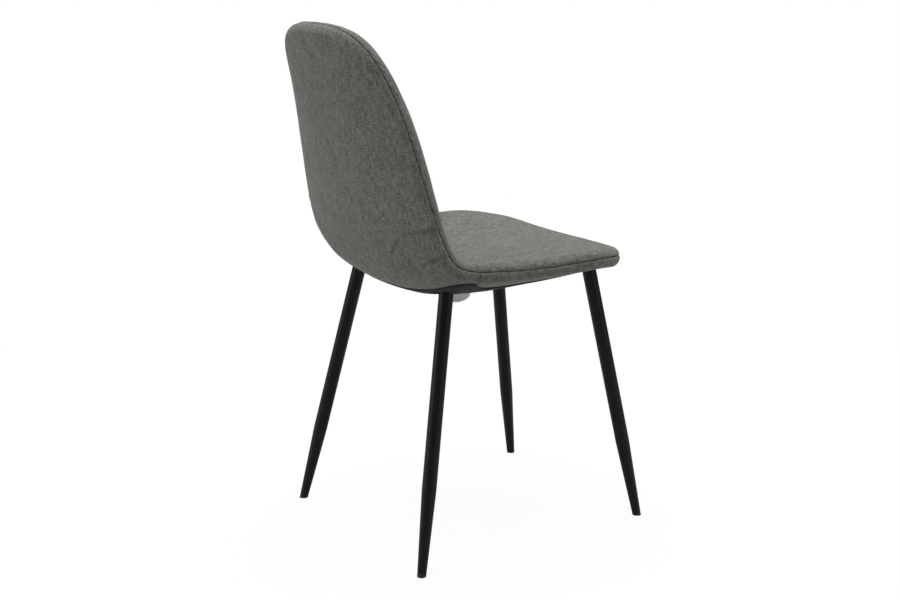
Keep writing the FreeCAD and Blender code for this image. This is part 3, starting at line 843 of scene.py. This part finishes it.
def grainMaterial(name, dark, light, roughness, metallic, grain, bumpDistance, stretch=(1, 1, 1), gloss=0.4):
    # paint, plastic, wood or plated metal with a fine grain in the object's own coordinates
    material, shader = newMaterial(name)
    place = addNode(material, "ShaderNodeTexCoord").outputs["Object"]
    scaled = addNode(material, "ShaderNodeMapping", {"Scale": stretch}, {"Vector": place}).outputs[0]
    fine = addNode(material, "ShaderNodeTexNoise", {"Scale": 1 / grain, "Detail": 3.0}, {"Vector": scaled}).outputs[0]
    broad = addNode(material, "ShaderNodeTexNoise", {"Scale": 0.06 / grain, "Detail": 2.0}, {"Vector": scaled}).outputs[0]
    mixed = math2(material, "ADD", math2(material, "MULTIPLY", fine, 0.5), math2(material, "MULTIPLY", broad, 0.5))
    links = material.node_tree.links
    links.new(ramp(material, mixed, [(0.35, dark), (0.65, light)]), shader.inputs["Base Color"])
    rough = addNode(material, "ShaderNodeMapRange", {"To Min": roughness[0], "To Max": roughness[1]}, {"Value": mixed})
    links.new(rough.outputs[0], shader.inputs["Roughness"])
    shader.inputs["Metallic"].default_value = metallic
    shader.inputs["Specular IOR Level"].default_value = gloss
    bump = addNode(material, "ShaderNodeBump", {"Strength": 0.4, "Distance": bumpDistance}, {"Height": fine})
    links.new(bump.outputs[0], shader.inputs["Normal"])
    return material


materials = {
    "seat_fabric": clothMaterial("seatCloth", 1.0),
    "back_fabric": clothMaterial("backCloth", 1.0),
    "border_fabric": clothMaterial("borderCloth", 1.0),
    "dust_cloth": grainMaterial("dustCloth", (0.010, 0.010, 0.010), (0.018, 0.018, 0.018), (0.8, 0.95), 0, 0.0012, 0.0003),
    "label_cloth": grainMaterial("labelCloth", (0.72, 0.72, 0.71), (0.82, 0.82, 0.81), (0.5, 0.7), 0, 0.0006, 0.0001),
    "leg_metal": grainMaterial("blackPaint", (0.0030, 0.0030, 0.0033), (0.0045, 0.0045, 0.0049), (0.36, 0.48), 0, 0.0009, 0.00005,
                               gloss=0.22),
    "glide_plastic": grainMaterial("blackPlastic", (0.011, 0.011, 0.011), (0.016, 0.016, 0.016), (0.45, 0.6), 0, 0.0012, 0.00005),
    "block_wood": grainMaterial("blackWood", (0.012, 0.010, 0.009), (0.035, 0.028, 0.024), (0.6, 0.8), 0, 0.002, 0.0002, (1, 0.12, 1)),
    "bolt_steel": grainMaterial("blackZinc", (0.035, 0.035, 0.037), (0.06, 0.06, 0.06), (0.3, 0.45), 1, 0.0008, 0.00003),
    "insert_steel": grainMaterial("zincPlate", (0.45, 0.44, 0.38), (0.62, 0.60, 0.52), (0.25, 0.4), 1, 0.0008, 0.00003),
    "shell_board": grainMaterial("blackBoard", (0.03, 0.028, 0.026), (0.05, 0.047, 0.043), (0.55, 0.75), 0, 0.003, 0.0001),
    "foam": grainMaterial("paleFoam", (0.62, 0.58, 0.47), (0.74, 0.70, 0.58), (0.85, 0.95), 0, 0.0015, 0.0004),
}


def finishNodes():
    slots = {part["node"]: part["material_slot"] for part in frame["record"]["subparts"]}
    for name, node in nodes.items():
        material = materials[slots[name]]
        if not node.material_slots:
            node.data.materials.append(material)
        for place in node.material_slots:
            place.material = material


def addPiece(piece, slotName, *replaced):
    piece.data.materials.clear()
    piece.data.materials.append(materials[slotName])
    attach(piece, "root")
    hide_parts(*replaced)


finishNodes()
front = makeFrontPad()
addPiece(front, "seat_fabric", "inner_fabric_cover", "front_foam_pad")
rear, border = makeRearPieces()
addPiece(rear, "back_fabric", "rear_fabric_panel", "rear_foam_pad")
addPiece(border, "border_fabric", "seat_border_panel")
dust = makeDustCover()
addPiece(dust, "dust_cloth", "dust_cover")
tag = makeLabel()
addPiece(tag, "label_cloth", "care_label")
print("pieces made")


# Camera, light and floor

camera = {
    "place": (-2.0615, 1.3766, 1.0042),
    "azimuth": 237.06,
    "elevation": 14.0,
    "roll": -0.1,
    "lens": 58.342,
}
studio = {
    "sky": 0.25,
    "floorShade": 0.95,
    "floorGlow": 0.92,
    "floorBounce": 0.58,
    "floorRadius": 1.7,
    "lamps": [
        ("overhead", (0.3, -0.2, 3.1), (0, 0, 0.4), 4.5, 158),
        ("behind", (1.6, 3.5, 1.4), (0, 0.1, 0.6), 2.4, 44),
        ("rightSide", (-3.4, -1.8, 0.7), (0, 0, 0.5), 1.8, 11)],
}


def makeCamera():
    azimuth = math.radians(camera["azimuth"])
    elevation = math.radians(camera["elevation"])
    level = math.cos(elevation)
    back = Vector((math.sin(azimuth) * level, -math.cos(azimuth) * level, math.sin(elevation)))
    right = Vector((math.cos(azimuth), math.sin(azimuth), 0))
    turn = Matrix((right, back.cross(right), back)).transposed().to_4x4()
    lens = bpy.data.cameras.new("camera")
    lens.lens = camera["lens"]
    lens.sensor_width = 36
    eye = bpy.data.objects.new("camera", lens)
    x, y, z = camera["place"]
    rolled = Matrix.Rotation(math.radians(camera["roll"]), 4, "Z")
    eye.matrix_world = Matrix.Translation((x, y + middleY, z)) @ turn @ rolled
    bpy.context.scene.collection.objects.link(eye)
    bpy.context.scene.camera = eye


def makeSky():
    world = bpy.data.worlds.new("studio")
    bpy.context.scene.world = world
    world.use_nodes = True
    tree = world.node_tree
    soft = tree.nodes["Background"]
    soft.inputs["Color"].default_value = (1, 1, 1, 1)
    soft.inputs["Strength"].default_value = studio["sky"]
    white = tree.nodes.new("ShaderNodeBackground")
    white.inputs["Color"].default_value = (1, 1, 1, 1)
    white.inputs["Strength"].default_value = 1
    path = tree.nodes.new("ShaderNodeLightPath")
    seen = path.outputs["Is Camera Ray"]
    mix = tree.nodes.new("ShaderNodeMixShader")
    tree.links.new(seen, mix.inputs[0])
    tree.links.new(soft.outputs[0], mix.inputs[1])
    tree.links.new(white.outputs[0], mix.inputs[2])
    tree.links.new(mix.outputs[0], tree.nodes["World Output"].inputs["Surface"])


def makeLamps():
    for name, place, aim, size, power in studio["lamps"]:
        lamp = bpy.data.lights.new(name, "AREA")
        lamp.size = size
        lamp.energy = power
        holder = bpy.data.objects.new(name, lamp)
        holder.location = place
        holder.visible_camera = False
        holder.rotation_euler = (Vector(aim) - Vector(place)).to_track_quat("-Z", "Y").to_euler()
        bpy.context.scene.collection.objects.link(holder)


def makeFloor():
    count = 96
    turns = [2 * math.pi * k / count for k in range(count)]
    radius = studio["floorRadius"]
    mesh = bpy.data.meshes.new("floor")
    mesh.from_pydata([(radius * math.cos(t), radius * math.sin(t), 0) for t in turns], [], [list(range(count))])
    floor = bpy.data.objects.new("floor", mesh)
    bpy.context.scene.collection.objects.link(floor)
    material, shader = newMaterial("floorWhite")
    links = material.node_tree.links
    seen = addNode(material, "ShaderNodeLightPath").outputs["Is Camera Ray"]
    shade = addNode(material, "ShaderNodeMapRange", {
        "To Min": studio["floorBounce"], "To Max": studio["floorShade"]}, {"Value": seen})
    links.new(shade.outputs[0], shader.inputs["Base Color"])
    glow = addNode(material, "ShaderNodeEmission", {"Color": (1, 1, 1, 1), "Strength": 1.0})
    place = addNode(material, "ShaderNodeTexCoord").outputs["Object"]
    away = addNode(material, "ShaderNodeVectorMath", links={0: place}, operation="LENGTH").outputs["Value"]
    fade = addNode(material, "ShaderNodeMapRange", {
        "From Min": 0.6, "From Max": studio["floorRadius"] * 0.9, "To Min": studio["floorGlow"], "To Max": 1.0},
        {"Value": away})
    part = math2(material, "MULTIPLY", seen, fade.outputs[0])
    mix = addNode(material, "ShaderNodeMixShader", links={0: part, 1: shader.outputs[0], 2: glow.outputs[0]})
    links.new(mix.outputs[0], material.node_tree.nodes["Material Output"].inputs["Surface"])
    shader.inputs["Roughness"].default_value = 0.9
    shader.inputs["Specular IOR Level"].default_value = 0.1
    floor.data.materials.append(material)


makeCamera()
makeSky()
makeLamps()
makeFloor()
bpy.context.scene.view_settings.view_transform = "Standard"
print("scene made")
